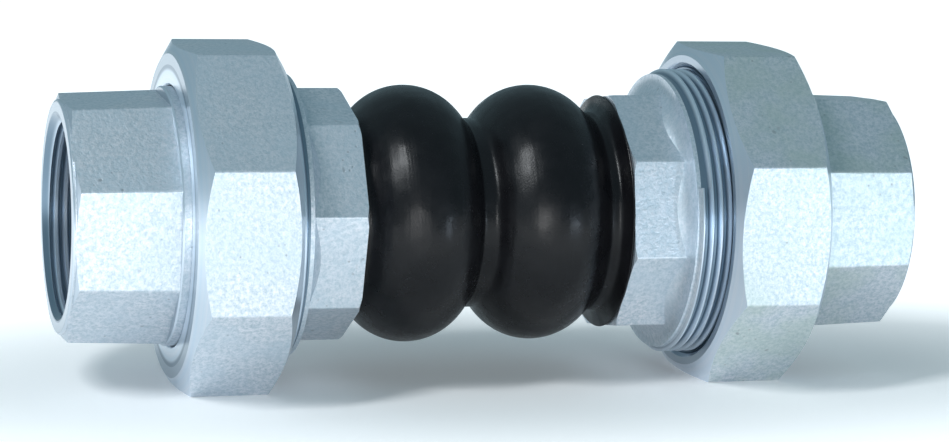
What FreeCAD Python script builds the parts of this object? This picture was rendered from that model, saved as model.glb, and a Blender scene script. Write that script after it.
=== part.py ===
import FreeCAD, Part
import math
import os

# Twin-sphere rubber expansion joint with a threaded union at each end.
# Everything is in millimetres. +X runs along the pipe from left to right, +Z is up, and the
# origin is on the pipe axis, halfway between the two end faces.
#
# The pieces of one end are drawn in an end frame: u runs outwards along the pipe axis from
# the gland's face by the rubber. Each end is then turned and moved to its place, which keeps
# every thread right-handed.

# ---------------------------------------------------------------- driving dimensions
FACE_TO_FACE = 210.0          # overall length as shown, one union backed off

# pipe thread, 1 1/2 inch parallel
PITCH = 2.309                 # 11 threads per inch, used for the pipe and the union threads
PIPE_MAJOR_R = 23.9
PIPE_MINOR_R = 22.6           # as drilled
PIPE_THREAD_LENGTH = 22.0
PIPE_ROOT_FLAT = 0.30
PIPE_MOUTH = 0.9              # countersink beyond the thread's root
TAIL_WALL = 4.1               # from the pipe thread's root to the middle of an end flat
TAIL_DRAFT = 0.8              # growth of the flats' distance from the axis towards the nut
TAIL_EDGE = 0.8               # rounding of the octagon's long edges
TAIL_END_ROUND = 0.8          # rounding round the end face
TAIL_CHAMFER_SLOPE = 0.4      # axial length of the end chamfer per radial step
TAIL_BORE_R = 20.0
TAIL_NECK_SHOWING = 1.7       # round neck between the octagon and the nut
COLLAR_THICKNESS = 4.2

# union thread and nut
UNION_MALE_R = 35.6           # crest of the gland's thread
UNION_THREAD_DEPTH = 1.25
UNION_CREST_FLAT = 0.35
UNION_RADIAL_GAP = 0.30
UNION_AXIAL_GAP = 0.23
NUT_LENGTH = 25.0
NUT_WALL = 5.1                # from the nut thread's root to the middle of a flat
NUT_FLANGE = 4.2
NUT_THREAD_LENGTH = 11.0
NUT_EDGE = 1.0                # rounding of the octagon's long edges
NUT_CHAMFER_IN = 1.95         # how far inside the flat the turned chamfer starts
CHAMFER_SLOPE = 0.6           # axial length of a turned chamfer per radial step
TURNS_BACKED_OFF = 2          # whole turns the right nut stands unscrewed

# gland
GLAND_LENGTH = 27.3
GLAND_OCTAGON = 14.0          # from the face by the rubber to the threaded ring
GLAND_APOTHEM = 28.5
GLAND_EDGE = 0.7              # rounding of the octagon's long edges
GLAND_SWEEP_R = 7.0           # fillet from the octagon to the ring
GLAND_MOUTH_R = 2.0           # rounding where the rubber enters

# rubber bellows
SPHERE_R = 31.6               # crest, from the pipe axis
SPHERE_ARC = 16.0             # arc radius of a sphere in section
SPHERE_SPACING = 32.1
ROOT_R = 23.0                 # groove between the spheres, from the pipe axis
NECK_R = 24.7
NECK_FILLET = 3.0
LEFT_CREST_TO_GLAND = 15.9
RIGHT_CREST_TO_GLAND = 18.6
LIP_R = 28.9                  # lip of rubber that spreads against the right gland
LIP_THICKNESS = 3.4
COVER = 1.9
PLY = 0.6
LINER = 1.6
LAYER_GAP = 0.3
BEAD_THICKNESS = 6.7
LINER_FLANGE = 1.4
BEAD_WIRE_R = 0.9
ROOT_RING_R = 1.0             # section radius
ROOT_EXTRA = 1.2              # extra rubber under the groove, which holds the ring

# clearances
RUBBER_GAP = 0.3              # rubber to metal, where they can move past each other
RUN_GAP = 0.3                 # nut to tailpiece
BOND_GAP = 0.05               # ring bonded in the rubber

# turned position of each octagon: angle of one corner below the front horizontal
NUT_CORNER = 22.5             # stands on a flat
LEFT_TAIL_CORNER = 25.0
RIGHT_TAIL_CORNER = 18.7
LEFT_GLAND_CORNER = 37.2
RIGHT_GLAND_CORNER = 12.7
THREAD_START = -18.0          # angle at which the union threads start

# ---------------------------------------------------------------- derived dimensions
COS8 = math.cos(math.pi / 8)
AXIS = FreeCAD.Vector(1, 0, 0)
ORIGIN = FreeCAD.Vector(0, 0, 0)

backed_off = TURNS_BACKED_OFF * PITCH
flank = UNION_THREAD_DEPTH * math.tan(math.radians(30))
male_root_r = UNION_MALE_R - UNION_THREAD_DEPTH
female_crest_r = male_root_r + UNION_RADIAL_GAP
female_root_r = UNION_MALE_R + UNION_RADIAL_GAP
male_base = UNION_CREST_FLAT + 2 * flank
male_at_female_crest = UNION_CREST_FLAT + 2 * (UNION_MALE_R - female_crest_r) * math.tan(
    math.radians(30))
female_crest_flat = PITCH - male_at_female_crest - 2 * UNION_AXIAL_GAP
female_base = female_crest_flat + 2 * (female_root_r - female_crest_r) * math.tan(
    math.radians(30))
nut_apothem = female_root_r + NUT_WALL

u_bead_end = GLAND_LENGTH + BEAD_THICKNESS        # the tailpiece seals here
u_collar_end = u_bead_end + COLLAR_THICKNESS
u_nut_end = u_collar_end + NUT_FLANGE
u_nut_mouth = u_nut_end - NUT_LENGTH
u_octagon = u_nut_end + TAIL_NECK_SHOWING
rubber_showing = LEFT_CREST_TO_GLAND + SPHERE_SPACING + RIGHT_CREST_TO_GLAND
tail_octagon = (FACE_TO_FACE - rubber_showing - backed_off - 2 * u_octagon) / 2
u_tail_end = u_octagon + tail_octagon

end_apothem = PIPE_MAJOR_R + TAIL_WALL
nut_side_apothem = end_apothem + TAIL_DRAFT
tail_neck_r = nut_side_apothem / COS8 + 0.1       # the octagon passes through the nut
collar_r = female_crest_r - 0.55
bead_r = collar_r - 0.9

x_left_gland = -FACE_TO_FACE / 2 + u_tail_end
x_left_crest = x_left_gland + LEFT_CREST_TO_GLAND
x_right_crest = x_left_crest + SPHERE_SPACING
x_right_gland = x_right_crest + RIGHT_CREST_TO_GLAND
x_root = (x_left_crest + x_right_crest) / 2


# ---------------------------------------------------------------- shape helpers
def point(u, r):
    return FreeCAD.Vector(u, 0, r)


def turned(path):
    """Solid of revolution about the pipe axis from a closed path.

    The path is a list of (u, r) points. An entry of two points is an arc that passes
    through the first and ends at the second."""
    edges, start, here = [], None, None
    for step in list(path) + [path[0]]:
        if isinstance(step[0], tuple):
            through, end = step
            edges.append(Part.Arc(point(*here), point(*through), point(*end)).toShape())
            here = end
            continue
        if here is not None and math.dist(here, step) > 1e-7:
            edges.append(Part.makeLine(point(*here), point(*step)))
        here = step
        start = start or step
    face = Part.Face(Part.Wire(edges))
    return face.revolve(ORIGIN, AXIS, 360)


def tube(u0, u1, inner, outer):
    return turned([(u0, inner), (u1, inner), (u1, outer), (u0, outer)])


def octagon(u0, apothem0, u1, apothem1, corner, edge_r):
    """Eight-sided bar with flat faces, which may taper, and rounded long edges."""
    rings = []
    for u, apothem in ((u0, apothem0), (u1, apothem1)):
        r = apothem / COS8
        angles = [math.radians(corner + 45 * k) for k in range(8)]
        rings.append([FreeCAD.Vector(u, -r * math.cos(a), -r * math.sin(a)) for a in angles])
    wires = [Part.makePolygon(ring + ring[:1]) for ring in rings]
    solid = Part.makeLoft(wires, True, True)
    long_edges = [e for e in solid.Edges if e.BoundBox.XLength > (u1 - u0) / 2]
    return solid.makeFillet(edge_r, long_edges)


def thread_coil(base_r, crest_r, base_width, crest_width, u_start, length, angle):
    """Right-handed helical ridge about the pipe axis, centred on u_start at the angle."""
    helix = Part.makeHelix(PITCH, length, (base_r + crest_r) / 2)
    half_base, half_crest = base_width / 2, crest_width / 2
    corners = [FreeCAD.Vector(base_r, 0, -half_base), FreeCAD.Vector(crest_r, 0, -half_crest),
               FreeCAD.Vector(crest_r, 0, half_crest), FreeCAD.Vector(base_r, 0, half_base)]
    profile = Part.makePolygon(corners + corners[:1])
    coil = Part.Wire(helix).makePipeShell([profile], True, True)
    coil.rotate(ORIGIN, FreeCAD.Vector(0, 1, 0), 90)
    coil.rotate(ORIGIN, AXIS, angle - 90)
    coil.translate(FreeCAD.Vector(u_start, 0, 0))
    if coil.Volume < 0:
        coil.reverse()
    return coil


def groove(body, zone, coil_sizes):
    """The body with a thread cut in it. The first start angle that cuts cleanly is used,
    because a coil whose seam meets the bore's own seam may cut nothing."""
    for angle in (137, 50, 230, 20, 290):
        coil = thread_coil(*coil_sizes, angle).common(zone)
        cut = body.cut(coil)
        if body.Volume - cut.Volume > 0.5 * coil.Volume and cut.isValid():
            return cut
    raise ValueError("the pipe thread could not be cut")


def torus(u, ring_r, section_r):
    return Part.makeTorus(ring_r, section_r, FreeCAD.Vector(u, 0, 0), AXIS)


def one_solid(shape):
    """The single solid of a shape, without leftover splitter edges."""
    solids = shape.removeSplitter().Solids
    if len(solids) != 1:
        raise ValueError("expected one solid, found %d" % len(solids))
    return solids[0]


# ---------------------------------------------------------------- pieces of one end
def make_tailpiece(corner):
    """Octagonal end with a female pipe thread and a collar that the nut pulls in."""
    edge = TAIL_END_ROUND
    round_r = end_apothem - 0.75 * edge
    outer_r = nut_side_apothem / COS8 + 1.0
    turned_end = turned([
        (u_octagon - 1.0, 0), (u_tail_end, 0), (u_tail_end, round_r),
        ((u_tail_end - edge * 0.293, round_r + edge * 0.707), (u_tail_end - edge,
                                                               round_r + edge)),
        (u_tail_end - edge - (outer_r - round_r - edge) * TAIL_CHAMFER_SLOPE, outer_r),
        (u_octagon - 1.0, outer_r)])
    bar = octagon(u_octagon, nut_side_apothem, u_tail_end, end_apothem, corner, TAIL_EDGE)
    body = bar.common(turned_end)
    shank = turned([
        (u_bead_end, 0), (u_bead_end, collar_r - 0.6), (u_bead_end + 0.6, collar_r),
        (u_collar_end - 0.4, collar_r), (u_collar_end, collar_r - 0.4),
        (u_collar_end, tail_neck_r), (u_octagon, tail_neck_r), (u_octagon + 0.35, tail_neck_r
                                                                - 0.35),
        (u_octagon + 0.35, 0)])
    body = body.fuse(shank)
    drill_end = u_tail_end - PIPE_THREAD_LENGTH - 1.5
    cone = PIPE_MINOR_R - TAIL_BORE_R
    body = body.cut(turned([
        (u_bead_end - 1, 0), (u_bead_end - 1, TAIL_BORE_R), (drill_end - cone, TAIL_BORE_R),
        (drill_end, PIPE_MINOR_R), (u_tail_end + 1, PIPE_MINOR_R), (u_tail_end + 1, 0)]))
    depth = PIPE_MAJOR_R - PIPE_MINOR_R + 0.1
    width = PIPE_ROOT_FLAT + 2 * depth * math.tan(math.radians(27.5))
    zone = tube(u_octagon, u_tail_end + 0.5, PIPE_MINOR_R - 1, PIPE_MAJOR_R + 2)
    body = groove(body, zone, (PIPE_MINOR_R - 0.1, PIPE_MAJOR_R, width, PIPE_ROOT_FLAT,
                               u_tail_end - PIPE_THREAD_LENGTH, PIPE_THREAD_LENGTH + PITCH))
    mouth_r = PIPE_MAJOR_R + PIPE_MOUTH
    return one_solid(body.cut(turned([
        (u_tail_end - mouth_r, 0), (u_tail_end, mouth_r), (u_tail_end + 1, mouth_r),
        (u_tail_end + 1, 0)])))


def make_nut():
    """Octagonal union nut: inward flange at the outer end, female thread at its mouth."""
    start_r = nut_apothem - NUT_CHAMFER_IN
    top_r = nut_apothem / COS8 + 1.0
    rise = (top_r - start_r) * CHAMFER_SLOPE
    blank = octagon(u_nut_mouth, nut_apothem, u_nut_end, nut_apothem, NUT_CORNER, NUT_EDGE)
    blank = blank.common(turned([
        (u_nut_mouth, 0), (u_nut_mouth, start_r), (u_nut_mouth + rise, top_r),
        (u_nut_end - rise, top_r), (u_nut_end, start_r), (u_nut_end, 0)]))
    mouth = 1.36
    hole_r = tail_neck_r + RUN_GAP
    bore = turned([
        (u_nut_mouth - 1, 0), (u_nut_mouth - 1, female_root_r + mouth),
        (u_nut_mouth, female_root_r + mouth), (u_nut_mouth + mouth, female_root_r),
        (u_collar_end, female_root_r), (u_collar_end, hole_r), (u_nut_end - 0.4, hole_r),
        (u_nut_end, hole_r + 0.4), (u_nut_end + 1, hole_r + 0.4), (u_nut_end + 1, 0)])
    body = blank.cut(bore)
    embed = 0.1
    base = female_base + 2 * embed * math.tan(math.radians(30))
    turns_before = math.floor((u_thread_start - u_nut_mouth) / PITCH) + 1
    u_coil = u_thread_start + PITCH / 2 - turns_before * PITCH
    coil = thread_coil(female_root_r + embed, female_crest_r, base, female_crest_flat,
                       u_coil, NUT_THREAD_LENGTH + 2 * PITCH, THREAD_START)
    zone = turned([
        (u_nut_mouth + 0.6, female_root_r + 1), (u_nut_mouth + 0.6, female_root_r - 0.3),
        (u_nut_mouth + 2.2, female_crest_r - 1), (u_nut_mouth + NUT_THREAD_LENGTH,
                                                  female_crest_r - 1),
        (u_nut_mouth + NUT_THREAD_LENGTH, female_root_r + 1)])
    return one_solid(body.fuse(coil.common(zone)))


def make_gland(corner):
    """Octagonal ring round the rubber's neck, swept out to the male union thread."""
    sweep = GLAND_SWEEP_R
    floor_r = male_root_r - sweep
    diagonal = sweep * math.sqrt(0.5)
    ring = turned([
        (GLAND_OCTAGON - sweep, 0), (GLAND_OCTAGON - sweep, floor_r),
        ((GLAND_OCTAGON - sweep + diagonal, male_root_r - diagonal), (GLAND_OCTAGON,
                                                                      male_root_r)),
        (GLAND_LENGTH, male_root_r), (GLAND_LENGTH, 0)])
    face_r = GLAND_APOTHEM / COS8 - 0.9
    bar = octagon(0, GLAND_APOTHEM, GLAND_OCTAGON, GLAND_APOTHEM, corner, GLAND_EDGE)
    bar = bar.common(turned([(0, 0), (0, face_r), (2.0, face_r + 2.0 / CHAMFER_SLOPE),
                             (GLAND_OCTAGON, face_r + 2.0 / CHAMFER_SLOPE),
                             (GLAND_OCTAGON, 0)]))
    body = bar.fuse(ring)
    embed = 0.1
    base = male_base + 2 * embed * math.tan(math.radians(30))
    coil = thread_coil(male_root_r - embed, UNION_MALE_R, base, UNION_CREST_FLAT,
                       u_thread_start, GLAND_LENGTH, THREAD_START)
    zone = turned([(GLAND_OCTAGON, male_root_r - 1), (GLAND_OCTAGON, UNION_MALE_R + 1),
                   (GLAND_LENGTH - 2.0, UNION_MALE_R + 1), (GLAND_LENGTH, male_root_r),
                   (GLAND_LENGTH, male_root_r - 1)])
    body = body.fuse(coil.common(zone))
    hole_r = NECK_R + RUBBER_GAP
    mouth = GLAND_MOUTH_R
    diagonal = mouth * (1 - math.sqrt(0.5))
    hole = turned([
        (-1, 0), (-1, hole_r + mouth), (0, hole_r + mouth),
        ((diagonal, hole_r + diagonal), (mouth, hole_r)),
        (GLAND_LENGTH - 1.3, hole_r), (GLAND_LENGTH, hole_r + 1.3),
        (GLAND_LENGTH + 1, hole_r + 1.3), (GLAND_LENGTH + 1, 0)])
    return one_solid(body.cut(hole))


def make_bead_wires():
    return torus(u_wire, wire_ring_r, BEAD_WIRE_R)


u_thread_start = GLAND_OCTAGON + male_base / 2 + 0.25
cover_flange_end = u_bead_end - LINER_FLANGE - 2 * PLY - 3 * LAYER_GAP
u_wire = (GLAND_LENGTH + cover_flange_end) / 2
wire_ring_r = (NECK_R + bead_r) / 2 + 0.6


# ---------------------------------------------------------------- rubber bellows
def tangent(centre, towards, radius):
    """Point on a circle round centre, on the way towards another centre."""
    length = math.dist(centre, towards)
    return tuple(c + (t - c) * radius / length for c, t in zip(centre, towards))


def between(centre, radius, first, second):
    """Middle point of the short arc between two points of a circle."""
    mid = [(a + b) / 2 - c for a, b, c in zip(first, second, centre)]
    length = math.hypot(*mid)
    return tuple(c + m * radius / length for c, m in zip(centre, mid))


def bellows_path(depth, root_r):
    """The wavy part of a layer's edge, left to right, at a depth below the outer skin."""
    crest_r = SPHERE_R - SPHERE_ARC
    half = SPHERE_SPACING / 2
    fall = SPHERE_R - root_r
    reach = (half ** 2 + fall ** 2) / (2 * fall)
    root_arc = reach - SPHERE_ARC
    step = SPHERE_R - NECK_R
    across = math.sqrt(2 * (SPHERE_ARC + NECK_FILLET) * step - step ** 2)
    left, right = (x_left_crest, crest_r), (x_right_crest, crest_r)
    root = (x_root, root_r + root_arc)
    sphere = SPHERE_ARC - depth
    path = []
    fillet_l = (x_left_crest - across, NECK_R + NECK_FILLET)
    first, second = (fillet_l[0], NECK_R - depth), tangent(left, fillet_l, sphere)
    path += [first, (between(fillet_l, NECK_FILLET + depth, first, second), second)]
    path.append(((x_left_crest, SPHERE_R - depth), tangent(left, root, sphere)))
    path.append(((x_root, root_r - depth), tangent(right, root, sphere)))
    fillet_r = (x_right_crest + across, NECK_R + NECK_FILLET)
    first, second = tangent(right, fillet_r, sphere), (fillet_r[0], NECK_R - depth)
    path.append(((x_right_crest, SPHERE_R - depth), first))
    path.append((between(fillet_r, NECK_FILLET + depth, first, second), second))
    return path


def backwards(path):
    """The same path walked from its end to its start."""
    points = [step[1] if isinstance(step[0], tuple) else step for step in path]
    out = [points[-1]]
    for k in range(len(path) - 1, 0, -1):
        step = path[k]
        out.append((step[0], points[k - 1]) if isinstance(step[0], tuple) else points[k - 1])
    return out


def make_layer(outside, inside, flange_back, flange_front, flange_r, lip=None):
    """One layer of the bellows with a flange in each bead.

    outside and inside are (depth, groove radius) of its two skins."""
    out_r, in_r = NECK_R - outside[0], NECK_R - inside[0]
    left_back, left_front = x_left_gland - flange_back, x_left_gland - flange_front
    right_back, right_front = x_right_gland + flange_back, x_right_gland + flange_front
    path = [(left_front, in_r), (left_front, flange_r), (left_back, flange_r),
            (left_back, out_r)]
    path += bellows_path(*outside)
    path += lip or []
    path += [(right_back, out_r), (right_back, flange_r), (right_front, flange_r),
             (right_front, in_r)]
    path += backwards(bellows_path(*inside))
    return turned(path)


def make_rubber():
    """Cover, two cord plies and liner, from the outside in."""
    core_root = ROOT_R - ROOT_EXTRA
    rise = LIP_R - NECK_R
    x_lip = x_right_gland - LIP_THICKNESS
    lip = [(x_lip, NECK_R),
           ((x_right_gland - LIP_THICKNESS * 0.42, NECK_R + rise * 0.30),
            (x_right_gland - 0.8, LIP_R - 0.3)),
           (x_right_gland - 0.4, LIP_R), (x_right_gland, LIP_R), (x_right_gland, NECK_R)]
    depth = COVER + LAYER_GAP
    flange = cover_flange_end
    cover = make_layer((0, ROOT_R), (COVER, core_root), GLAND_LENGTH, flange, bead_r, lip)
    for x in (x_left_gland - u_wire, x_right_gland + u_wire):
        cover = cover.cut(torus(x, wire_ring_r, BEAD_WIRE_R + RUBBER_GAP))
    cover = cover.cut(torus(x_root, root_ring_r, ROOT_RING_R + BOND_GAP))
    flange += LAYER_GAP
    plies = []
    for _ in range(2):
        plies.append(make_layer((depth, core_root), (depth + PLY, core_root), flange,
                                flange + PLY, bead_r - 0.6))
        depth += PLY + LAYER_GAP
        flange += PLY + LAYER_GAP
    liner = make_layer((depth, core_root), (depth + LINER, core_root), flange, u_bead_end,
                       bead_r)
    return one_solid(cover), plies[0], plies[1], liner


root_ring_r = ROOT_R - (COVER + ROOT_EXTRA) / 2


# ---------------------------------------------------------------- assembly
def to_left(shape, outwards=0.0):
    """Move a piece from the end frame to the left end."""
    placed = shape.copy()
    placed.rotate(ORIGIN, FreeCAD.Vector(0, 0, 1), 180)
    placed.translate(FreeCAD.Vector(x_left_gland - outwards, 0, 0))
    return placed


def to_right(shape, outwards=0.0):
    """Move a piece from the end frame to the right end."""
    placed = shape.copy()
    placed.translate(FreeCAD.Vector(x_right_gland + outwards, 0, 0))
    return placed


def build():
    cover, ply_outer, ply_inner, liner = make_rubber()
    nut = make_nut()
    wires = make_bead_wires()
    return {
        "left_tailpiece": to_left(make_tailpiece(-LEFT_TAIL_CORNER)),
        "left_union_nut": to_left(nut),
        "left_gland": to_left(make_gland(-LEFT_GLAND_CORNER)),
        "left_bead_wires": to_left(wires),
        "rubber_cover": cover,
        "cord_ply_outer": ply_outer,
        "cord_ply_inner": ply_inner,
        "rubber_liner": liner,
        "root_ring": torus(x_root, root_ring_r, ROOT_RING_R),
        "right_bead_wires": to_right(wires),
        "right_gland": to_right(make_gland(RIGHT_GLAND_CORNER)),
        "right_union_nut": to_right(nut, backed_off),
        "right_tailpiece": to_right(make_tailpiece(RIGHT_TAIL_CORNER), backed_off),
    }


def main():
    os.makedirs("parts", exist_ok=True)
    for name, shape in build().items():
        if not shape.isValid() or shape.Volume <= 0:
            raise ValueError("%s is not a sound solid" % name)
        shape.exportStep("parts/%s.step" % name)
        box = shape.BoundBox
        print("%-17s volume %9.0f  x %7.2f..%7.2f  y %6.2f..%6.2f  z %6.2f..%6.2f" % (
            name, shape.Volume, box.XMin, box.XMax, box.YMin, box.YMax, box.ZMin, box.ZMax))


main()
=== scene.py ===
"""Looks of a twin-arch rubber expansion joint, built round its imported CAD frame.

Lengths are in metres. +X runs along the pipe from left to right and +Z is up."""

import math

import bpy
from bpy.props import FloatProperty, FloatVectorProperty, IntProperty, PointerProperty
from mathutils import Matrix, Vector


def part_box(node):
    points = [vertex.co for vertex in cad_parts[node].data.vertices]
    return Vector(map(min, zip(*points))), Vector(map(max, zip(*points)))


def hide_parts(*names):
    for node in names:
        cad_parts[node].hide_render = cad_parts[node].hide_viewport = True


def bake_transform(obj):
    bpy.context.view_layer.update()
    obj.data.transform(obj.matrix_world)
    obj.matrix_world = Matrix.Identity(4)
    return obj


bl_info = {
    "name": "Rubber Expansion Joint",
    "version": (1, 0, 0),
    "blender": (4, 5, 0),
    "location": "3D View > Sidebar > Expansion Joint",
    "description": "Builds the rubber bellows and the zinc-plated finish of an expansion joint",
    "category": "Object",
}

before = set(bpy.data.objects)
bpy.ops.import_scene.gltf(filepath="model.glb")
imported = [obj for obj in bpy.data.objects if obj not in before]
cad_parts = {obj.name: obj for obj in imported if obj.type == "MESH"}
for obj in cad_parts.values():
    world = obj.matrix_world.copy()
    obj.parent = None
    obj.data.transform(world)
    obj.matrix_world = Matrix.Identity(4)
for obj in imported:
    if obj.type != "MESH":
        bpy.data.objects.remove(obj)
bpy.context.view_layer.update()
MM = 0.001

# Places read from the frame: the glands' faces by the rubber, the right nut's outer end,
# the middle of the groove between the arches and the floor.
LEFT_GLAND_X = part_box("left_gland")[1].x
RIGHT_GLAND_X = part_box("right_gland")[0].x
RIGHT_NUT_END_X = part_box("right_union_nut")[1].x
GROOVE_X = (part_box("root_ring")[0].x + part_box("root_ring")[1].x) / 2
FLOOR_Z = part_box("left_union_nut")[0].z


# Radii that tell turned metal from cast, and a thread's crest from its root.
PIPE_BORE_R = 25.2 * MM
PIPE_THREAD_R = (22.7 * MM, 23.8 * MM)
NUT_BORE_R = 36.4 * MM
NUT_THREAD_R = (34.7 * MM, 35.8 * MM)
GLAND_THREAD_R = (35.4 * MM, 34.4 * MM)
GLAND_CAST_LENGTH = 15.0 * MM        # octagon and sweep, from the face by the rubber
NUT_SHADE_BAND = (1.6 * MM, 2.9 * MM)      # band of painted shade on the tailpiece, from the nut's end
CAST_GRAIN = 1.05 * MM
PIT_COLOUR = (0.25, 0.27, 0.29, 1)

# Walls of the bellows, from the outside in.
COVER, LAYER_GAP, PLY, LINER = 1.9 * MM, 0.3 * MM, 0.6 * MM, 1.6 * MM
LINER_FLANGE = 1.4 * MM
PLY_RIM_INSET = 0.6 * MM
BEAD_CORNER = 0.25 * MM
SLEEVE_ROW = 4.0 * MM                # row spacing inside a gland
SEAT_CLEARANCE = 0.02 * MM           # between the lip and the right gland
LIP_ROWS = 10
BEND_LENGTH = 9.0 * MM               # stretch of rubber that bends by each gland


# ---------------------------------------------------------------- settings
def length(name, value, description):
    return FloatProperty(name=name, default=value * MM, description=description,
                         subtype="DISTANCE", unit="LENGTH", precision=5)


def colour(name, value, description):
    return FloatVectorProperty(name=name, default=value, description=description,
                               subtype="COLOR", size=3, min=0.0, max=1.0)


class BellowsSettings(bpy.types.PropertyGroup):
    """Section of the rubber bellows, close to the CAD model's."""

    crest: length("Crest radius", 31.6, "Top of an arch, from the pipe axis")
    arch: length("Arch radius", 16.0, "Radius of an arch in section")
    spacing: length("Arch spacing", 32.1, "From one crest to the other")
    groove: length("Groove radius", 23.4, "Bottom of the groove between the arches")
    groove_soft: length("Groove softness", 1.6, "Rounding in the corners of the groove")
    neck_soft: length("Neck softness", 2.4, "Rounding where an arch meets its neck")
    core_groove: length("Core groove", 21.8, "Groove radius that the inner layers follow")
    neck: length("Neck radius", 24.7, "Outside of the neck, from the pipe axis")
    neck_fillet: length("Neck fillet", 3.0, "Radius where an arch runs into its neck")
    bead: length("Bead radius", 33.2, "Rim of the bead")
    lip: length("Lip radius", 28.9, "Lip of rubber against the right gland")
    lip_length: length("Lip length", 3.4, "How far the lip stands off the gland")
    lip_power: FloatProperty(name="Lip flare", default=3.2, min=1.0, max=6.0,
                             description="How late the lip turns outwards")
    row: length("Row spacing", 0.45, "Distance between rows of faces along the pipe")
    around: IntProperty(name="Steps around", default=144, min=24, max=256,
                        description="Faces round the pipe")


class FinishSettings(bpy.types.PropertyGroup):
    """Colours of the metal and the rubber."""

    zinc_dark: colour("Zinc shade", (0.46, 0.55, 0.61), "Darker grain of the plated casting")
    zinc_light: colour("Zinc light", (0.79, 0.80, 0.85), "Lighter grain of the casting")
    zinc_cool: colour("Cool tint", (0.56, 0.66, 0.74), "Bluish patches of the left end")
    zinc_warm: colour("Greenish tint", (0.52, 0.62, 0.55), "Patches of the right end")
    turned: colour("Turned zinc", (0.62, 0.72, 0.82), "Machined chamfers and threads")
    # Colour of painted shade, laid in thread roots and on the right tailpiece beside its nut.
    painted_shade: colour("Painted Shade", (0.14, 0.21, 0.28), "Thread roots and tight joints")
    # Painted shade: flat end faces across the pipe are coloured darker.
    end_face_shade: colour("End face", (0.34, 0.40, 0.46), "Flat faces across the pipe")
    rubber: colour("Rubber", (0.004, 0.004, 0.005), "Outer cover")
    cord: colour("Cord", (0.42, 0.36, 0.27), "Woven tyre cord")
    wire: colour("Wire", (0.62, 0.52, 0.34), "Coated steel wire")


class StageSettings(bpy.types.PropertyGroup):
    """Camera, lights and floor."""

    distance: length("Camera distance", 734.8, "From the point looked at")
    focal: FloatProperty(name="Focal length", default=113.2, min=20, max=300, unit="CAMERA",
                         description="Lens, for a sensor 36 mm wide")
    yaw: FloatProperty(name="Turn", default=math.radians(16.24), subtype="ANGLE",
                       description="How far the camera stands towards the left end")
    pitch: FloatProperty(name="Height angle", default=math.radians(9.437), subtype="ANGLE",
                         description="How far the camera looks down")
    roll: FloatProperty(name="Tilt", default=math.radians(2.014), subtype="ANGLE",
                        description="Tilt of the camera about its own axis")
    aim_along: length("Aim along", 17.79, "Point looked at, to the right in the view")
    aim_up: length("Aim up", -1.34, "Point looked at, upwards in the view")
    aim_from: length("Aim from", -19.71, "Where along the pipe the aim is measured from")
    floor: colour("Floor", (0.90, 0.90, 0.90), "Pale floor")
    glow: FloatProperty(name="Floor glow", default=0.85, min=0.0, max=1.0,
                        description="Light that the pale floor gives off by itself")
    surround: colour("Surround", (0.52, 0.79, 0.90), "Light from the walls of the studio")


# ---------------------------------------------------------------- mesh helpers
def deselect():
    if bpy.context.object and bpy.context.object.mode != "OBJECT":
        bpy.ops.object.mode_set(mode="OBJECT")
    bpy.ops.object.select_all(action="DESELECT")


def spun(name, section, around):
    """A closed ring about the pipe axis from a closed section of (x, radius) points."""
    deselect()
    bpy.ops.mesh.primitive_circle_add(vertices=len(section), radius=0.01,
                                      rotation=(math.pi / 2, 0, 0))
    piece = bpy.context.object
    bpy.ops.object.transform_apply(location=True, rotation=True, scale=True)
    for vertex, (x, r) in zip(piece.data.vertices, section):
        vertex.co = (x, 0, r)
    bpy.ops.object.mode_set(mode="EDIT")
    bpy.ops.mesh.select_all(action="SELECT")
    bpy.ops.mesh.spin(steps=around, angle=2 * math.pi, center=(0, 0, 0), axis=(1, 0, 0))
    bpy.ops.mesh.select_all(action="SELECT")
    bpy.ops.mesh.remove_doubles(threshold=1e-6)
    bpy.ops.mesh.normals_make_consistent(inside=False)
    bpy.ops.object.mode_set(mode="OBJECT")
    bpy.ops.object.shade_smooth_by_angle(angle=math.radians(32))
    piece.name = piece.data.name = name
    return piece


def steps(start, end, spacing):
    """Evenly spaced values from start to end, both included."""
    count = max(1, math.ceil(abs(end - start) / spacing))
    return [start + (end - start) * k / count for k in range(count + 1)]


# ---------------------------------------------------------------- shader helpers
class Nodes:
    """Short names for adding and joining shader nodes in one tree."""

    def __init__(self, tree):
        self.tree = tree

    def add(self, kind, values=None, **settings):
        node = self.tree.nodes.new(kind)
        for key, value in settings.items():
            setattr(node, key, value)
        for key, value in (values or {}).items():
            self.put(value, node.inputs[key])
        return node

    def put(self, value, socket):
        if isinstance(value, bpy.types.NodeSocket):
            self.tree.links.new(value, socket)
        else:
            socket.default_value = value

    def math(self, operation, *values):
        node = self.add("ShaderNodeMath", operation=operation)
        for socket, value in zip(node.inputs, values):
            self.put(value, socket)
        return node.outputs[0]

    def mix(self, factor, first, second):
        node = self.add("ShaderNodeMix", data_type="RGBA")
        sockets = [s for s in node.inputs if s.type == "RGBA"]
        self.put(factor, node.inputs[0])
        self.put(first, sockets[0])
        self.put(second, sockets[1])
        return [s for s in node.outputs if s.type == "RGBA"][0]

    def span(self, value, low, high, to_low=0.0, to_high=1.0, smooth=False):
        node = self.add("ShaderNodeMapRange", clamp=True)
        if smooth:
            node.interpolation_type = "SMOOTHSTEP"
        for socket, v in zip(node.inputs, (value, low, high, to_low, to_high)):
            self.put(v, socket)
        return node.outputs[0]

    def noise(self, vector, scale, detail=3.0, roughness=0.55, distortion=0.0):
        node = self.add("ShaderNodeTexNoise", {
            "Vector": vector, "Scale": scale, "Detail": detail, "Roughness": roughness,
            "Distortion": distortion})
        return node.outputs["Fac"]


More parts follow.
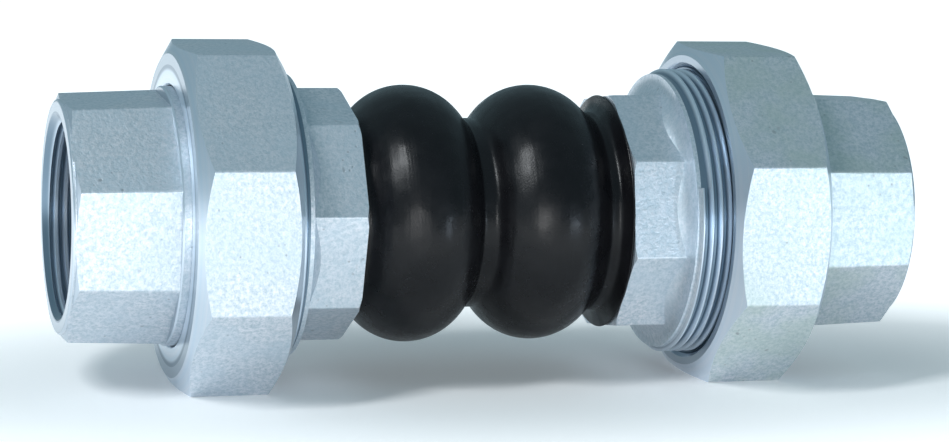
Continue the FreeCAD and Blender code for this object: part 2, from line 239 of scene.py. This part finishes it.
def group(name, inputs, outputs, build):
    """A shader node group with named float or vector sockets, made once."""
    if name in bpy.data.node_groups:
        return bpy.data.node_groups[name]
    tree = bpy.data.node_groups.new(name, "ShaderNodeTree")
    for label, kind, value in inputs:
        socket = tree.interface.new_socket(label, in_out="INPUT", socket_type=kind)
        if value is not None:
            socket.default_value = value
    for label, kind in outputs:
        tree.interface.new_socket(label, in_out="OUTPUT", socket_type=kind)
    n = Nodes(tree)
    source, sink = n.add("NodeGroupInput"), n.add("NodeGroupOutput")
    for label, socket in build(n, source.outputs).items():
        n.put(socket, sink.inputs[label])
    return tree


def use_group(n, tree, **values):
    node = n.add("ShaderNodeGroup", node_tree=tree)
    for key, value in values.items():
        n.put(value, node.inputs[key.replace("_", " ")])
    return node.outputs


def polar(n, vector):
    """Place along the pipe, distance from its axis, and angle round it in radians."""
    part = n.add("ShaderNodeSeparateXYZ", {0: vector}).outputs
    radius = n.math("SQRT", n.math("ADD", n.math("MULTIPLY", part[1], part[1]),
                                   n.math("MULTIPLY", part[2], part[2])))
    return part[0], radius, n.math("ARCTAN2", part[2], part[1])


def cast_skin():
    """Sand-cast surface under plating: speckled grain, shallow waves and a few pits."""

    def build(n, given):
        at = given["Vector"]
        per_grain = n.math("DIVIDE", 1.0, given["Grain"])
        sand = n.noise(at, per_grain, 2.0, 0.55)
        flecks = n.noise(at, n.math("MULTIPLY", per_grain, 2.3), 2.0, 0.6, 0.4)
        broad = n.noise(at, n.math("MULTIPLY", per_grain, 0.18), 2.0, 0.5)
        cells = n.add("ShaderNodeTexVoronoi", {
            "Vector": at, "Scale": n.math("MULTIPLY", per_grain, 0.5),
            "Randomness": 1.0}, feature="SMOOTH_F1").outputs["Distance"]
        rare = n.span(n.noise(at, n.math("MULTIPLY", per_grain, 0.12), 1.0), 0.57, 0.62)
        pits = n.math("MULTIPLY", n.span(cells, 0.02, 0.2, 1.0, 0.0, smooth=True), rare)
        height = n.math("ADD", n.math("MULTIPLY", sand, 0.7),
                        n.math("MULTIPLY", flecks, 0.3))
        height = n.math("ADD", height, n.math("MULTIPLY", broad, 0.8))
        height = n.math("SUBTRACT", height, n.math("MULTIPLY", pits, 0.45))
        patches = n.span(n.noise(at, n.math("MULTIPLY", per_grain, 0.06), 3.0, 0.6),
                         0.38, 0.62)
        speckle = n.math("ADD", n.math("MULTIPLY", n.span(sand, 0.36, 0.64), 0.6),
                         n.math("MULTIPLY", n.span(flecks, 0.38, 0.62), 0.4))
        return {"Height": height, "Patches": patches, "Speckle": speckle, "Pits": pits}

    return group("cast_skin", [("Vector", "NodeSocketVector", None),
                               ("Grain", "NodeSocketFloat", 0.001)],
                 [("Height", "NodeSocketFloat"), ("Patches", "NodeSocketFloat"),
                  ("Speckle", "NodeSocketFloat"), ("Pits", "NodeSocketFloat")], build)


def turned_finish():
    """Where a lathe has been: bores, threaded rings, end faces and chamfers."""

    def build(n, given):
        along, radius, _ = polar(n, given["Vector"])
        slope = n.math("ABSOLUTE", n.add("ShaderNodeSeparateXYZ",
                                         {0: given["Normal"]}).outputs[0])
        ring = n.math("MULTIPLY", n.math("GREATER_THAN", along, given["Ring Start"]),
                      n.math("LESS_THAN", along, given["Ring End"]))
        bore = n.math("LESS_THAN", radius, given["Bore"])
        threaded = n.math("MAXIMUM", ring, bore)
        faces = n.math("MULTIPLY", n.span(slope, 0.28, 0.5, smooth=True), given["Faces"])
        # Mask for the flat end faces, which get painted shade.
        face = n.math("MULTIPLY", n.span(slope, 0.90, 0.97, smooth=True),
                      n.math("SUBTRACT", 1.0, threaded))
        # Painted shade: this mask darkens the thread roots, where shade falls.
        root = n.span(radius, given["Crest"], given["Root"], smooth=True)
        path = n.math("ADD", radius, n.math("MULTIPLY", along, 0.4))
        rings = n.add("ShaderNodeCombineXYZ", {0: path}).outputs[0]
        return {"Mask": n.math("MAXIMUM", faces, threaded), "Face": face,
                "Painted Shade": n.math("MULTIPLY", root, threaded),
                "Marks": n.noise(rings, 2200.0, 2.0, 0.6),
                "Tone": n.span(n.noise(rings, 700.0, 2.0), 0.35, 0.65)}

    numbers = ("Bore", "Ring Start", "Ring End", "Faces", "Crest", "Root")
    return group("turned_finish",
                 [("Vector", "NodeSocketVector", None), ("Normal", "NodeSocketVector", None)]
                 + [(label, "NodeSocketFloat", 0.0) for label in numbers],
                 [(label, "NodeSocketFloat")
                  for label in ("Mask", "Face", "Painted Shade", "Marks", "Tone")], build)


def moulded_rubber():
    """Skin of moulded rubber: faint wrap bands round the pipe, lumps and fine grain."""

    def build(n, given):
        along, radius, _ = polar(n, given["Vector"])
        lumps = n.noise(given["Vector"], 70.0, 2.0, 0.5)
        ring = n.add("ShaderNodeCombineXYZ", {0: along, 1: n.math("MULTIPLY", radius, 0.5)})
        bands = n.noise(ring.outputs[0], 420.0, 2.0, 0.5)
        grain = n.noise(given["Vector"], 2600.0, 3.0, 0.6)
        height = n.math("ADD", lumps, n.math("MULTIPLY", bands, 0.14))
        height = n.math("ADD", height, n.math("MULTIPLY", grain, 0.05))
        dull = n.span(n.noise(given["Vector"], 110.0, 4.0, 0.6), 0.35, 0.7)
        return {"Height": height, "Dull": dull}

    return group("moulded_rubber", [("Vector", "NodeSocketVector", None)],
                 [("Height", "NodeSocketFloat"), ("Dull", "NodeSocketFloat")], build)


def start_material(name):
    """A material, its node helper, the shader's inputs and the texture coordinates."""
    material = bpy.data.materials.new(name)
    material.use_nodes = True
    material.node_tree.nodes.clear()
    n = Nodes(material.node_tree)
    surface = n.add("ShaderNodeBsdfPrincipled")
    n.add("ShaderNodeOutputMaterial", {"Surface": surface.outputs[0]})
    return material, n, surface.inputs, n.add("ShaderNodeTexCoord").outputs


def rgba(value):
    return (*value, 1.0)


def plated_casting(name, finish, tint, bore, thread, ring=(0.0, 0.0), faces=1.0,
                   seam=None):
    """Bright zinc over a malleable casting, smoother where a lathe has been.

    thread is the (crest, root) radius of the thread, and seam the (start, end) of a band of
    painted shade."""
    material, n, surface, at = start_material(name)
    skin = use_group(n, cast_skin(), Vector=at["Object"], Grain=CAST_GRAIN)
    lathe = use_group(n, turned_finish(), Vector=at["Object"], Normal=at["Normal"],
                      Bore=bore, Ring_Start=ring[0], Ring_End=ring[1], Faces=faces,
                      Crest=thread[0], Root=thread[1])
    mask = lathe["Mask"]
    cast = n.math("SUBTRACT", 1.0, mask)
    tone = n.mix(skin["Speckle"], rgba(finish.zinc_dark), rgba(finish.zinc_light))
    tone = n.mix(n.math("MULTIPLY", skin["Patches"], 0.45), tone, rgba(tint))
    tone = n.mix(n.math("MULTIPLY", skin["Pits"], 0.6), tone, PIT_COLOUR)
    bright = n.mix(n.math("MULTIPLY", lathe["Tone"], 0.5), rgba(finish.turned),
                   rgba(finish.zinc_light))
    # Painted shade on the flat end faces across the pipe.
    bright = n.mix(n.math("MULTIPLY", lathe["Face"], 0.75), bright, rgba(finish.end_face_shade))
    # Painted shade in the thread roots.
    bright = n.mix(n.math("MULTIPLY", lathe["Painted Shade"], 0.9), bright, rgba(finish.painted_shade))
    tone = n.mix(mask, tone, bright)
    # Painted shade: a dark band on the tailpiece just past the nut's end, where shade falls at
    # the joint.
    if seam:
        along = n.add("ShaderNodeSeparateXYZ", {0: at["Object"]}).outputs[0]
        tone = n.mix(n.span(along, *seam, 0.85, 0.0, smooth=True), tone, rgba(finish.painted_shade))
    n.put(tone, surface["Base Color"])
    surface["Metallic"].default_value = 0.85
    rough = n.span(skin["Speckle"], 0.0, 1.0, 0.47, 0.39)
    rough = n.math("ADD", n.math("MULTIPLY", rough, cast), n.math("MULTIPLY", mask, 0.28))
    n.put(rough, surface["Roughness"])
    height = n.math("ADD", n.math("MULTIPLY", skin["Height"], cast),
                    n.math("MULTIPLY", n.math("MULTIPLY", lathe["Marks"], mask), 0.12))
    bump = n.add("ShaderNodeBump", {"Strength": 0.5, "Distance": 0.00024, "Height": height})
    n.put(bump.outputs[0], surface["Normal"])
    return material


def black_rubber(name, colour_value, roughness):
    """Moulded rubber, a little dusty and dull in places."""
    material, n, surface, at = start_material(name)
    surface["Specular IOR Level"].default_value = 0.24
    skin = use_group(n, moulded_rubber(), Vector=at["Object"])
    dusty = tuple(min(1.0, c * 1.8 + 0.001) for c in colour_value)
    n.put(n.mix(n.math("MULTIPLY", skin["Dull"], 0.5), rgba(colour_value), rgba(dusty)),
          surface["Base Color"])
    n.put(n.span(skin["Dull"], 0.0, 1.0, roughness, roughness + 0.14), surface["Roughness"])
    bump = n.add("ShaderNodeBump", {"Strength": 0.6, "Distance": 0.0012,
                                    "Height": skin["Height"]})
    n.put(bump.outputs[0], surface["Normal"])
    return material


def woven_cord(name, colour_value, slant):
    """Parallel tyre cords laid at a slant round the pipe, in thin rubber."""
    material, n, surface, at = start_material(name)
    along, _, angle = polar(n, at["Object"])
    lay = n.math("ADD", n.math("MULTIPLY", along, 2 * math.pi / 0.0011),
                 n.math("MULTIPLY", angle, slant))
    wave = n.math("MULTIPLY_ADD", n.math("SINE", lay), 0.5, 0.5)
    fibre = n.noise(at["Object"], 1800.0, 3.0)
    gum = n.span(wave, 0.12, 0.4, 0.0, 1.0, smooth=True)
    thread = n.mix(n.math("MULTIPLY", fibre, 0.6), rgba(colour_value),
                   rgba([c * 0.55 for c in colour_value]))
    n.put(n.mix(gum, (0.03, 0.03, 0.03, 1), thread), surface["Base Color"])
    n.put(n.span(gum, 0.0, 1.0, 0.5, 0.78), surface["Roughness"])
    height = n.math("ADD", wave, n.math("MULTIPLY", fibre, 0.3))
    bump = n.add("ShaderNodeBump", {"Strength": 0.7, "Distance": 0.0004, "Height": height})
    n.put(bump.outputs[0], surface["Normal"])
    return material


def coated_wire(name, colour_value):
    """Bronze-coated steel wire with drawing marks."""
    material, n, surface, at = start_material(name)
    along, radius, _ = polar(n, at["Object"])
    marks = n.noise(n.add("ShaderNodeCombineXYZ", {0: along, 1: radius}).outputs[0],
                    5200.0, 3.0)
    stain = n.span(n.noise(at["Object"], 160.0, 4.0), 0.4, 0.7)
    n.put(n.mix(n.math("MULTIPLY", stain, 0.5), rgba(colour_value), (0.35, 0.30, 0.24, 1)),
          surface["Base Color"])
    surface["Metallic"].default_value = 1.0
    n.put(n.span(marks, 0.3, 0.7, 0.24, 0.4), surface["Roughness"])
    bump = n.add("ShaderNodeBump", {"Strength": 0.4, "Distance": 0.00005, "Height": marks})
    n.put(bump.outputs[0], surface["Normal"])
    return material


# ---------------------------------------------------------------- rubber layers
class Bellows:
    """Radius of any skin of the bellows, and the section of any layer."""

    def __init__(self, sizes):
        self.s = sizes
        self.crests = (GROOVE_X - sizes.spacing / 2, GROOVE_X + sizes.spacing / 2)
        step = sizes.crest - sizes.neck
        self.across = math.sqrt(2 * (sizes.arch + sizes.neck_fillet) * step - step ** 2)

    def outer(self, x):
        """Radius at x of the outer skin: two arches softly joined to groove and necks."""
        s = self.s
        far = min(abs(x - crest) for crest in self.crests)
        arch = s.crest - s.arch + math.sqrt(max(0.0, s.arch ** 2 - far ** 2))
        inside = self.crests[0] < x < self.crests[1]
        base, soft = (s.groove, s.groove_soft) if inside else (s.neck, s.neck_soft)
        return max(arch, base) + max(0.0, soft - abs(arch - base)) ** 2 / (4 * soft)

    def radius(self, x, depth, groove):
        """Radius at x of the skin that lies a depth below the outer skin."""
        s = self.s
        if depth == 0.0:
            return self.outer(x)
        centre_r = s.crest - s.arch
        fall = s.crest - groove
        reach = ((s.spacing / 2) ** 2 + fall ** 2) / (2 * fall)
        hollow = reach - s.arch
        arch = s.arch - depth
        for crest in self.crests:
            far = abs(x - crest)
            if (x - crest) * (GROOVE_X - crest) > 0:
                if far <= s.spacing / 2 * arch / reach:
                    return centre_r + math.sqrt(arch ** 2 - far ** 2)
            elif far <= self.across * arch / (s.arch + s.neck_fillet):
                return centre_r + math.sqrt(arch ** 2 - far ** 2)
            elif far < self.across:
                fillet = s.neck_fillet + depth
                return s.neck + s.neck_fillet - math.sqrt(
                    max(0.0, fillet ** 2 - (far - self.across) ** 2))
        if self.crests[0] < x < self.crests[1]:
            curve = hollow + depth
            return groove + hollow - math.sqrt(max(0.0, curve ** 2 - (x - GROOVE_X) ** 2))
        return s.neck - depth

    def skin(self, start, end, depth, groove):
        return [(x, self.radius(x, depth, groove)) for x in steps(start, end, self.s.row)]

    def lip(self, start):
        """Outer skin from a seam to the right gland, with its flared lip."""
        s = self.s
        foot = RIGHT_GLAND_X - s.lip_length
        rise = s.lip - s.neck
        points = self.skin(start, foot, 0.0, s.groove)
        for k in range(1, LIP_ROWS + 1):
            t = k / LIP_ROWS
            points.append((foot + (s.lip_length - 0.5 * MM) * t,
                           s.neck + rise * t ** s.lip_power))
        seat = RIGHT_GLAND_X - SEAT_CLEARANCE
        return points + [(RIGHT_GLAND_X - 0.35 * MM, s.lip + 0.1 * MM),
                         (seat, s.lip - 0.1 * MM), (seat, s.neck)]


class Layer:
    """One layer: two skins, given as (depth, groove radius), and its bead flange."""

    def __init__(self, label, outside, inside, flange, rim, material, slot):
        self.label, self.outside, self.inside = label, outside, inside
        self.flange, self.rim = flange, rim
        self.material, self.slot = material, slot


def layers(s):
    """The four layers from the outside in, with the CAD model's thicknesses."""
    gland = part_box("left_gland")[1].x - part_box("left_gland")[0].x
    front = LEFT_GLAND_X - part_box("rubber_liner")[0].x
    ply_in = front - LINER_FLANGE - LAYER_GAP
    ply_out = ply_in - PLY - LAYER_GAP
    core, ply_rim = s.core_groove, s.bead - PLY_RIM_INSET
    outer = COVER + LAYER_GAP
    inner = COVER + 2 * LAYER_GAP + PLY
    lining = COVER + 3 * LAYER_GAP + 2 * PLY
    return {
        "rubber_cover": Layer("cover", (0.0, s.groove), (COVER, core),
                              (gland, ply_out - PLY - LAYER_GAP), s.bead, "cover_rubber",
                              "black_rubber"),
        "cord_ply_outer": Layer("outer_ply", (outer, core), (outer + PLY, core),
                                (ply_out - PLY, ply_out), ply_rim, "outer_cord",
                                "tyre_cord"),
        "cord_ply_inner": Layer("inner_ply", (inner, core), (inner + PLY, core),
                                (ply_in - PLY, ply_in), ply_rim, "inner_cord",
                                "tyre_cord"),
        "rubber_liner": Layer("liner", (lining, core), (lining + LINER, core),
                              (front - LINER_FLANGE, front), s.bead, "liner_rubber",
                              "liner_rubber"),
    }


def neck_section(layer, shape, side, gland, seam):
    """Section of a layer from a seam through one gland to the bead flange and back."""
    out_r = shape.s.neck - layer.outside[0]
    in_r = shape.s.neck - layer.inside[0]
    back, front = (gland + side * depth for depth in layer.flange)
    mouth, corner = gland + side * 0.5 * MM, side * BEAD_CORNER
    if side > 0 and layer.label == "cover":
        outer = shape.lip(seam)
    else:
        outer = shape.skin(seam, gland, *layer.outside)
    outer += [(x, out_r) for x in steps(mouth, back, SLEEVE_ROW)]
    flange = [(back, layer.rim - BEAD_CORNER), (back + corner, layer.rim),
              (front - corner, layer.rim), (front, layer.rim - BEAD_CORNER)]
    inner = [(x, in_r) for x in steps(front, mouth, SLEEVE_ROW)]
    return outer + flange + inner + shape.skin(gland, seam, *layer.inside)


def make_layer(node, layer, sizes, material):
    """A layer in four rings: two necks and two arches."""
    shape = Bellows(sizes)
    left_seam = LEFT_GLAND_X + BEND_LENGTH
    bend_end = RIGHT_GLAND_X - sizes.lip_length
    right_seam = bend_end - BEND_LENGTH

    def arch(start, end):
        return (shape.skin(start, end, *layer.outside)
                + shape.skin(end, start, *layer.inside))

    rings = (
        ("left_neck", neck_section(layer, shape, -1, LEFT_GLAND_X, left_seam),
         "left_end", "left_arch", LEFT_GLAND_X, left_seam),
        ("right_neck", neck_section(layer, shape, 1, RIGHT_GLAND_X, right_seam),
         "right_arch", "right_end", right_seam, bend_end),
        ("left_arch", arch(left_seam, GROOVE_X), "left_arch", "centre", left_seam, GROOVE_X),
        ("right_arch", arch(GROOVE_X, right_seam), "centre", "right_arch", GROOVE_X,
         right_seam))
    for name, section, first, second, start, end in rings:
        piece = spun(layer.label + "_" + name, section, sizes.around)
        piece.data.materials.clear()
        piece.data.materials.append(material)
        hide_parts(node)
        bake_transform(piece)


class JOINT_OT_rubber_cover(bpy.types.Operator):
    """Make the black outer cover with its two arches, lip and beads"""

    bl_idname = "expansion_joint.rubber_cover"
    bl_label = "Rubber Cover"

    def execute(self, context):
        sizes, finish = context.scene.bellows, context.scene.finish
        material = black_rubber("cover_rubber", finish.rubber, 0.23)
        make_layer("rubber_cover", layers(sizes)["rubber_cover"], sizes, material)
        return {"FINISHED"}


class JOINT_OT_cord_plies(bpy.types.Operator):
    """Make the two plies of slanted tyre cord under the cover"""

    bl_idname = "expansion_joint.cord_plies"
    bl_label = "Cord Plies"

    def execute(self, context):
        sizes, finish = context.scene.bellows, context.scene.finish
        for node, slant in (("cord_ply_outer", 60.0), ("cord_ply_inner", -60.0)):
            layer = layers(sizes)[node]
            make_layer(node, layer, sizes, woven_cord(layer.material, finish.cord, slant))
        return {"FINISHED"}


class JOINT_OT_rubber_liner(bpy.types.Operator):
    """Make the liner, which lines the waterway and seals on the tailpieces"""

    bl_idname = "expansion_joint.rubber_liner"
    bl_label = "Rubber Liner"

    def execute(self, context):
        sizes, finish = context.scene.bellows, context.scene.finish
        colour_value = [c * 1.8 for c in finish.rubber]
        material = black_rubber("liner_rubber", colour_value, 0.52)
        make_layer("rubber_liner", layers(sizes)["rubber_liner"], sizes, material)
        return {"FINISHED"}


# ---------------------------------------------------------------- metal
def give(node, material):
    """Put one material on a CAD piece."""
    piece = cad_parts[node]
    piece.data.materials.clear()
    piece.data.materials.append(material)
    for face in piece.data.polygons:
        face.material_index = 0


class JOINT_OT_plated_castings(bpy.types.Operator):
    """Give the tailpieces, nuts and glands their zinc-plated cast finish"""

    bl_idname = "expansion_joint.plated_castings"
    bl_label = "Plated Castings"

    def execute(self, context):
        finish = context.scene.finish
        for side, tint in (("left", finish.zinc_cool), ("right", finish.zinc_warm)):
            node = side + "_tailpiece"
            # The right tailpiece gets a band of painted shade beside its nut.
            seam = None
            if side == "right":
                seam = tuple(RIGHT_NUT_END_X + offset for offset in NUT_SHADE_BAND)
            give(node, plated_casting("zinc_" + node, finish, tint, PIPE_BORE_R,
                                      PIPE_THREAD_R, seam=seam))
            node = side + "_union_nut"
            give(node, plated_casting("zinc_" + node, finish, tint, NUT_BORE_R,
                                      NUT_THREAD_R))
            node = side + "_gland"
            low, high = (corner.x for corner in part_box(node))
            if side == "left":
                ring = (low, high - GLAND_CAST_LENGTH)
            else:
                ring = (low + GLAND_CAST_LENGTH, high)
            give(node, plated_casting("zinc_" + node, finish, finish.zinc_cool, PIPE_BORE_R,
                                      GLAND_THREAD_R, ring, faces=0.25))
        return {"FINISHED"}


class JOINT_OT_steel_wires(bpy.types.Operator):
    """Give the bead wires and the root ring their coated steel finish"""

    bl_idname = "expansion_joint.steel_wires"
    bl_label = "Steel Wires"

    def execute(self, context):
        material = coated_wire("coated_wire", context.scene.finish.wire)
        for node in ("left_bead_wires", "right_bead_wires", "root_ring"):
            give(node, material)
        return {"FINISHED"}


# ---------------------------------------------------------------- stage
def soft_light(name, at, aim, size, power, tint):
    """A rectangular area light turned towards a point."""
    deselect()
    bpy.ops.object.light_add(type="AREA", location=at)
    lamp = bpy.context.object
    lamp.name = name
    lamp.data.shape = "RECTANGLE"
    lamp.data.size, lamp.data.size_y = size
    lamp.data.energy = power
    lamp.data.color = tint
    lamp.rotation_euler = (Vector(aim) - Vector(at)).to_track_quat("-Z", "Y").to_euler()


class JOINT_OT_stage(bpy.types.Operator):
    """Set the pale floor, the soft lights and the camera"""

    bl_idname = "expansion_joint.stage"
    bl_label = "Stage"

    # name, place, point lit, size, watts, tint
    LIGHTS = (
        ("key_light", (-0.75, -0.46, 0.88), (0, 0, 0), (0.18, 0.46), 8.5, (0.93, 0.97, 1.0)),
        ("front_light", (-0.26, -0.84, 0.04), (-0.10, 0, 0.0), (0.34, 0.14), 1.6,
         (1.0, 1.0, 1.0)),
        ("strip_light", (0.30, -0.42, -0.02), (0.01, 0, -0.01), (0.03, 0.02), 0.20,
         (0.70, 0.84, 1.0)),
    )

    def execute(self, context):
        s = context.scene.stage
        deselect()
        bpy.ops.mesh.primitive_plane_add(size=9.0, location=(0, 2.0, FLOOR_Z))
        floor = bpy.context.object
        floor.name = "floor"
        bpy.ops.object.transform_apply(location=True, rotation=True, scale=True)
        floor.data.materials.append(self.floor_paint(s))

        for light in self.LIGHTS:
            soft_light(*light)
        world = bpy.data.worlds.new("studio")
        context.scene.world = world
        world.use_nodes = True
        background = world.node_tree.nodes["Background"]
        background.inputs["Color"].default_value = (*s.surround, 1)
        background.inputs["Strength"].default_value = 0.39
        self.place_camera(context, s)
        return {"FINISHED"}

    def floor_paint(self, s):
        """Pale paint that glows away from the object, with a painted shadow right under it."""
        material, n, surface, at = start_material("floor_paint")
        grain = n.noise(at["Object"], 600.0, 2.0)
        n.put(n.mix(n.math("MULTIPLY", grain, 0.05), rgba(s.floor), (0.8, 0.8, 0.8, 1)),
              surface["Base Color"])
        surface["Roughness"].default_value = 0.75
        flat = n.add("ShaderNodeVectorMath", {0: at["Object"], 1: (0.45, 1, 0)},
                     operation="MULTIPLY").outputs[0]
        away = n.add("ShaderNodeVectorMath", {0: flat}, operation="LENGTH").outputs["Value"]
        # Painted contact shadow: the floor's glow fades to almost nothing close to the object.
        glow = n.span(away, 0.035, 0.14, 0.13, s.glow, smooth=True)
        n.put(n.mix(glow, (0, 0, 0, 1), (0.96, 0.98, 1.0, 1)), surface["Emission Color"])
        surface["Emission Strength"].default_value = 1.0
        return material

    def place_camera(self, context, s):
        """Aim the camera with the settings' turn, height angle and tilt."""
        ahead = Vector((math.sin(s.yaw) * math.cos(s.pitch),
                        math.cos(s.yaw) * math.cos(s.pitch), -math.sin(s.pitch)))
        level = Vector((math.cos(s.yaw), -math.sin(s.yaw), 0))
        upright = level.cross(ahead)
        right = math.cos(s.roll) * level + math.sin(s.roll) * upright
        up = -math.sin(s.roll) * level + math.cos(s.roll) * upright
        aim = Vector((s.aim_from, 0, 0)) + level * s.aim_along + upright * s.aim_up
        deselect()
        bpy.ops.object.camera_add(location=aim - ahead * s.distance)
        camera = bpy.context.object
        camera.rotation_euler = Matrix((right, up, -ahead)).transposed().to_euler()
        camera.data.lens = s.focal
        camera.data.sensor_width = 36.0
        camera.data.clip_start, camera.data.clip_end = 0.01, 50.0
        context.scene.camera = camera
        context.scene.view_settings.view_transform = "Standard"


# ---------------------------------------------------------------- panel
OPERATORS = (JOINT_OT_rubber_cover, JOINT_OT_cord_plies, JOINT_OT_rubber_liner,
             JOINT_OT_plated_castings, JOINT_OT_steel_wires, JOINT_OT_stage)


class JOINT_PT_panel(bpy.types.Panel):
    """Lists the steps that build the expansion joint"""

    bl_label = "Expansion Joint"
    bl_idname = "JOINT_PT_panel"
    bl_space_type = "VIEW_3D"
    bl_region_type = "UI"
    bl_category = "Expansion Joint"

    def draw(self, context):
        for operator in OPERATORS:
            self.layout.operator(operator.bl_idname)


SETTINGS = {"bellows": BellowsSettings, "finish": FinishSettings, "stage": StageSettings}


def register():
    for kind in (*SETTINGS.values(), *OPERATORS, JOINT_PT_panel):
        bpy.utils.register_class(kind)
    for name, kind in SETTINGS.items():
        setattr(bpy.types.Scene, name, PointerProperty(type=kind))


def unregister():
    for name in SETTINGS:
        delattr(bpy.types.Scene, name)
    for kind in reversed((*SETTINGS.values(), *OPERATORS, JOINT_PT_panel)):
        bpy.utils.unregister_class(kind)


def main():
    register()
    for operator in OPERATORS:
        category, name = operator.bl_idname.split(".")
        getattr(getattr(bpy.ops, category), name)()


if __name__ == "__main__":
    main()
